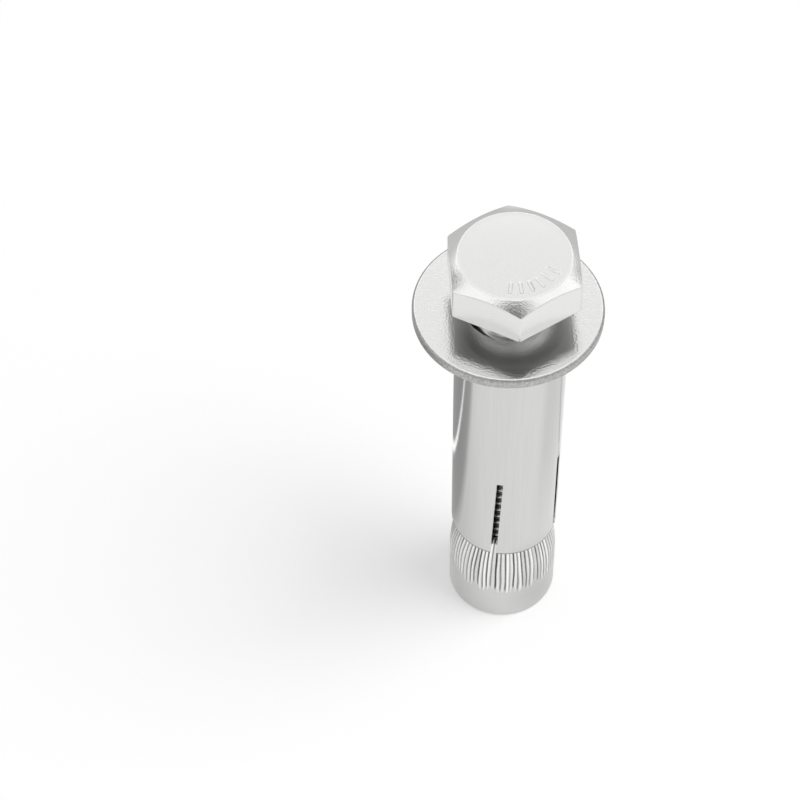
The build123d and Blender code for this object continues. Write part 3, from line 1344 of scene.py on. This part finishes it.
@dataclass(frozen=True)
class PaperFloor:
    """The floor: matt paper that turns pure white away from the bolt, and that metal sees with painted
    reflections: dark bands, a glowing line and a dark line.
    """

    half: float = 4.0
    paper: float = 0.9
    glow: float = 0.27
    turns_white: Fade = Fade(40 * MM, 120 * MM, soft=True)
    # Metal alone sees the rest, which is painted reflection. On the left, broad dark bands with one glowing
    # bright line give the sleeve its streaks:
    # each band's place along its direction is in millimetres, and the second number is how dark it is.
    left: Fade = Fade(6 * MM, -6 * MM, before=0.1)
    band_direction: Point = (-0.41, 0.912, 0.0)
    band_reach: float = 60 * MM
    bands: tuple[tuple[float, float], ...] = (
        (1, 0.02), (6.6, 0.05), (11.0, 0.5), (19.5, 0.6), (30, 0.62), (55, 0.35),
    )
    painted_bright_line: float = 20.8 * MM
    painted_bright_half_width: float = 0.6 * MM
    painted_glow_strength: float = 1.35
    # The right is painted greyer behind the bolt, with one painted dark line.
    right: Fade = Fade(8 * MM, 32 * MM, after=0.16, soft=True)
    not_in_front: Fade = Fade(-18 * MM, -6 * MM, soft=True)
    dark_line_direction: Point = (-0.28, 0.96, 0.0)
    painted_dark_line: float = 8.1 * MM
    dark_half_width: float = 1.0 * MM
    dark_line_right: Fade = Fade(4 * MM, 8 * MM, after=0.36)
    line_softness: float = 1.5
    # Metal sees painted shade on the paper beside the bolt's foot, and the far back painted darker than what
    # lies near.
    foot: Fade = Fade(7 * MM, 16 * MM, before=0.2, after=0.0)
    foot_right: Fade = Fade(0.0, 6 * MM)
    far_back: Fade = Fade(150 * MM, 500 * MM, after=0.42, soft=True)

    def _line(
        self,
        paper: SurfaceTree,
        across: Point,
        offset: float,
        half_width: float,
    ) -> bpy.types.NodeSocket:
        """A thin straight line over the floor.

        Args:
            paper: The floor's material.
            across: The direction across the line.
            offset: How far along that direction it lies.
            half_width: Half its width, without its soft edges.

        Returns:
            1 on the line and 0 beside it.
        """
        reach = paper.add(VECTOR_MATH, {**DOT, 1: across}, {0: paper.place}, "Value")
        off = paper.add(MATH, {**MINUS, 1: offset}, {0: reach})
        off = paper.add(MATH, ABSOLUTE, {0: off})
        edge = Fade(self.line_softness * half_width, half_width)
        return paper.add(MAP_RANGE, edge.settings, {"Value": off})

    def _painted_bands(self, paper: SurfaceTree) -> bpy.types.NodeSocket:
        """The broad painted dark bands that lie across the floor, before they fade to the right.

        Args:
            paper: The floor's material.

        Returns:
            How dark they are, from 0 to 1.
        """
        offset = paper.add(VECTOR_MATH, {**DOT, 1: self.band_direction}, {0: paper.place}, "Value")
        share = paper.add(MATH, {**OVER, 1: self.band_reach}, {0: offset})
        ramp = add_node(paper.tree, "ShaderNodeValToRGB", links={0: share})
        stops = ramp.color_ramp.elements
        for position, depth in self.bands:
            stop = stops.new(position * MM / self.band_reach)
            stop.color = grey(depth)
        stops.remove(stops[0])
        stops.remove(stops[-1])
        return ramp.outputs[0]

    def _painted_depth(self, paper: SurfaceTree, left: bpy.types.NodeSocket) -> bpy.types.NodeSocket:
        """How dark metal sees the floor, in painted reflections and painted shade.

        Args:
            paper: The floor's material.
            left: Where the floor's left half is.

        Returns:
            The deepest of its painted shades: the far back, the bands, the grey right side and the shade
                beside the bolt's foot.
        """
        add = paper.add
        x, y, _ = add(SEPARATE, {}, {0: paper.place}).node.outputs
        back = add(MAP_RANGE, self.far_back.settings, {"Value": y})
        band = add(MATH, TIMES, {0: self._painted_bands(paper), 1: left})
        right = add(MAP_RANGE, self.right.settings, {"Value": x})
        behind = add(MAP_RANGE, self.not_in_front.settings, {"Value": y})
        side = add(MATH, TIMES, {0: right, 1: behind})
        line = self._line(paper, self.dark_line_direction, self.painted_dark_line, self.dark_half_width)
        ahead = add(MAP_RANGE, self.dark_line_right.settings, {"Value": x})
        side = add(MATH, TIMES_PLUS, {0: line, 1: ahead, 2: side})
        # Painted shade beside the bolt's foot, which metal alone sees.
        near = add(MAP_RANGE, self.foot.settings, {"Value": paper.radius()})
        beside = add(MAP_RANGE, self.foot_right.settings, {"Value": x})
        foot = add(MATH, TIMES, {0: near, 1: beside})
        deepest = back
        for shade in (band, side, foot):
            deepest = add(MATH, LARGER, {0: deepest, 1: shade})
        return deepest

    def material(self) -> bpy.types.Material:
        """Builds the paper, with the painted reflections that metal alone sees laid over what everything
        sees.

        Returns:
            The material.
        """
        paper = SurfaceTree("Matt white paper")
        add = paper.add
        path = add("ShaderNodeLightPath").node.outputs
        matt = add("ShaderNodeBsdfDiffuse", {"Color": grey(self.paper)})
        lift = add(EMISSION, {"Color": grey(self.glow)})
        near = add("ShaderNodeAddShader", {}, {0: matt, 1: lift})
        white = add(EMISSION, {"Color": grey(1)})
        away = add(MAP_RANGE, self.turns_white.settings, {"Value": paper.radius()})
        seen = add(MATH, {**MINUS, 0: 1.0}, {1: path["Is Diffuse Ray"]})
        share = add(MATH, TIMES, {0: away, 1: seen})
        shown = add(MIX_SHADER, {}, {0: share, 1: near, 2: white})

        x = add(SEPARATE, {}, {0: paper.place}, "X")
        left = add(MAP_RANGE, self.left.settings, {"Value": x})
        dark = add(EMISSION, {"Color": grey(0)})
        share = add(MATH, TIMES, {0: self._painted_depth(paper, left), 1: path["Is Glossy Ray"]})
        shown = add(MIX_SHADER, {}, {0: share, 1: shown, 2: dark})
        # A painted bright reflection: for metal alone, the line glows though it is no lamp.
        bright = add(EMISSION, {"Color": grey(1), "Strength": self.painted_glow_strength})
        line = self._line(paper, self.band_direction, self.painted_bright_line, self.painted_bright_half_width)
        share = add(MATH, TIMES, {0: line, 1: left})
        share = add(MATH, TIMES, {0: share, 1: path["Is Glossy Ray"]})
        return paper.finish(add(MIX_SHADER, {}, {0: share, 1: shown, 2: bright}))

    def build(self) -> None:
        """Lays the floor."""
        half = self.half
        mesh = bpy.data.meshes.new("studio_floor")
        corners = [(-half, -half, 0), (half, -half, 0), (half, half, 0), (-half, half, 0)]
        mesh.from_pydata(corners, [], [(0, 1, 2, 3)])
        mesh.materials.append(self.material())
        stand("studio_floor", mesh)


@dataclass(frozen=True)
class DarkSpot:
    """A round spot of the dome that metal mirrors dark, as it would a lens or a lamp stand."""

    direction: Point
    reach: float
    brightness: float


@dataclass(frozen=True)
class WhiteDome:
    """The world: white to the camera, even as a light, and with darker walls where metal mirrors it."""

    light: float = 0.5
    # The walls, the ceiling and the strip go by how high or how far back a direction points, from -1 to 1.
    back_wall: Fade = Fade(0.44, 0.61, before=0.66, soft=True)
    front_wall: Fade = Fade(0.64, 0.79, before=0.55, soft=True)
    facing_front: Fade = Fade(-0.1, -0.5, soft=True)
    ceiling: Fade = Fade(0.55, 0.1, before=1.0, after=1.2, soft=True)
    strip_height: float = 0.62
    strip_light: Fade = Fade(0.07, 0.02, after=0.8, soft=True)
    facing_back: Fade = Fade(0.0, 0.3, soft=True)
    spots: tuple[DarkSpot, ...] = (
        DarkSpot((0.0, -0.45, 0.893), math.radians(14), 0.12),
        DarkSpot((-0.748, 0.328, 0.578), math.radians(8), 0.15),
        DarkSpot((0.745, 0.392, 0.539), math.radians(6), 0.5),
    )
    spot_rim: float = 1.5
    spot_core: float = 0.6

    def _mirrored(self, dome: Graph) -> bpy.types.NodeSocket:
        """The dome as metal mirrors it: walls, a ceiling, a bright strip at the back and dark spots.

        Args:
            dome: The world's node tree.

        Returns:
            How bright each direction is.
        """
        add = dome.add
        toward = add("ShaderNodeTexCoord", output="Generated")
        _, y, z = add(SEPARATE, {}, {0: toward}).node.outputs
        walls = {
            "Factor": add(MAP_RANGE, self.facing_front.settings, {"Value": y}),
            "A": add(MAP_RANGE, self.back_wall.settings, {"Value": z}),
            "B": add(MAP_RANGE, self.front_wall.settings, {"Value": z}),
        }
        wall = add(MIX, {"data_type": "FLOAT"}, walls)
        ceiling = add(MAP_RANGE, self.ceiling.settings, {"Value": y})
        sky = add(MATH, TIMES, {0: wall, 1: ceiling})
        off = add(MATH, {**MINUS, 1: self.strip_height}, {0: z})
        off = add(MATH, ABSOLUTE, {0: off})
        strip = add(MAP_RANGE, self.strip_light.settings, {"Value": off})
        behind = add(MAP_RANGE, self.facing_back.settings, {"Value": y})
        sky = add(MATH, TIMES_PLUS, {0: strip, 1: behind, 2: sky})
        for spot in self.spots:
            facing = add(VECTOR_MATH, {**DOT, 1: spot.direction}, {0: toward}, "Value")
            rim, core = (math.cos(spot.reach * share) for share in (self.spot_rim, self.spot_core))
            dimming = Fade(rim, core, before=1.0, after=spot.brightness, soft=True)
            shade = add(MAP_RANGE, dimming.settings, {"Value": facing})
            sky = add(MATH, TIMES, {0: sky, 1: shade})
        return sky

    def build(self) -> None:
        """Makes the world: what metal mirrors, what lights the scene and what the camera sees."""
        world = bpy.data.worlds.new("White dome")
        bpy.context.scene.world = world
        world.use_nodes = True
        dome = Graph(world.node_tree)
        add = dome.add
        path = add("ShaderNodeLightPath").node.outputs
        soft = {"data_type": "FLOAT", "A": self.light}
        lit = add(MIX, soft, {"Factor": path["Is Glossy Ray"], "B": self._mirrored(dome)})
        direct = add(MATH, LARGER, {0: path["Is Camera Ray"], 1: path["Is Transmission Ray"]})
        strength = add(MIX, {"data_type": "FLOAT", "B": 1.0}, {"Factor": direct, "A": lit})
        light = add("ShaderNodeBackground", {"Color": grey(1)}, {"Strength": strength})
        add_node(dome.tree, "ShaderNodeOutputWorld", links={"Surface": light})


@dataclass
class Studio:
    """A pale floor under a white dome, with a soft lamp and the camera at the photograph's place."""

    camera_place: Point = (-11.666 * MM, -163.036 * MM, 250.294 * MM)
    camera_tilt: float = math.radians(36.997)
    camera_roll: float = math.radians(-0.783)
    focal_pixels: float = 2524.86
    sensor_width: float = 36.0
    nearest_seen: float = 0.01
    lamp_place: Point = (0.55, -0.05, 0.95)
    lamp_size: float = 0.8
    lamp_power: float = 5.2

    def lamp(self) -> None:
        """Hangs one soft lamp over the right, so that the shadow falls to the left."""
        light = bpy.data.lights.new("soft_lamp", "AREA")
        light.shape = "DISK"
        light.size = self.lamp_size
        light.energy = self.lamp_power
        lamp = stand("soft_lamp", light)
        lamp.location = self.lamp_place
        lamp.rotation_euler = (-lamp.location).to_track_quat("-Z", "Y").to_euler()
        lamp.visible_glossy = False

    def camera(self) -> None:
        """Sets the camera up where the photograph was taken."""
        lens = bpy.data.cameras.new("camera")
        lens.sensor_width = self.sensor_width
        lens.lens = self.focal_pixels * self.sensor_width / IMAGE_WIDTH
        lens.clip_start = self.nearest_seen
        camera = stand("camera", lens)
        turn = Matrix.Rotation(self.camera_tilt, 4, "X") @ Matrix.Rotation(self.camera_roll, 4, "Z")
        camera.matrix_world = Matrix.Translation(self.camera_place) @ turn
        bpy.context.scene.camera = camera

    def build(self) -> None:
        """Sets up the whole studio."""
        PaperFloor().build()
        WhiteDome().build()
        self.lamp()
        self.camera()
        bpy.context.scene.view_settings.view_transform = "Standard"


def main() -> None:
    """Builds the four pieces and the studio."""
    logging.basicConfig(level=logging.INFO, format="%(message)s")
    for piece in (ConeNut(), ExpansionSleeve(), FlatWasher(), HexBolt()):
        piece.place()
    Studio().build()


if __name__ == "__main__":
    main()
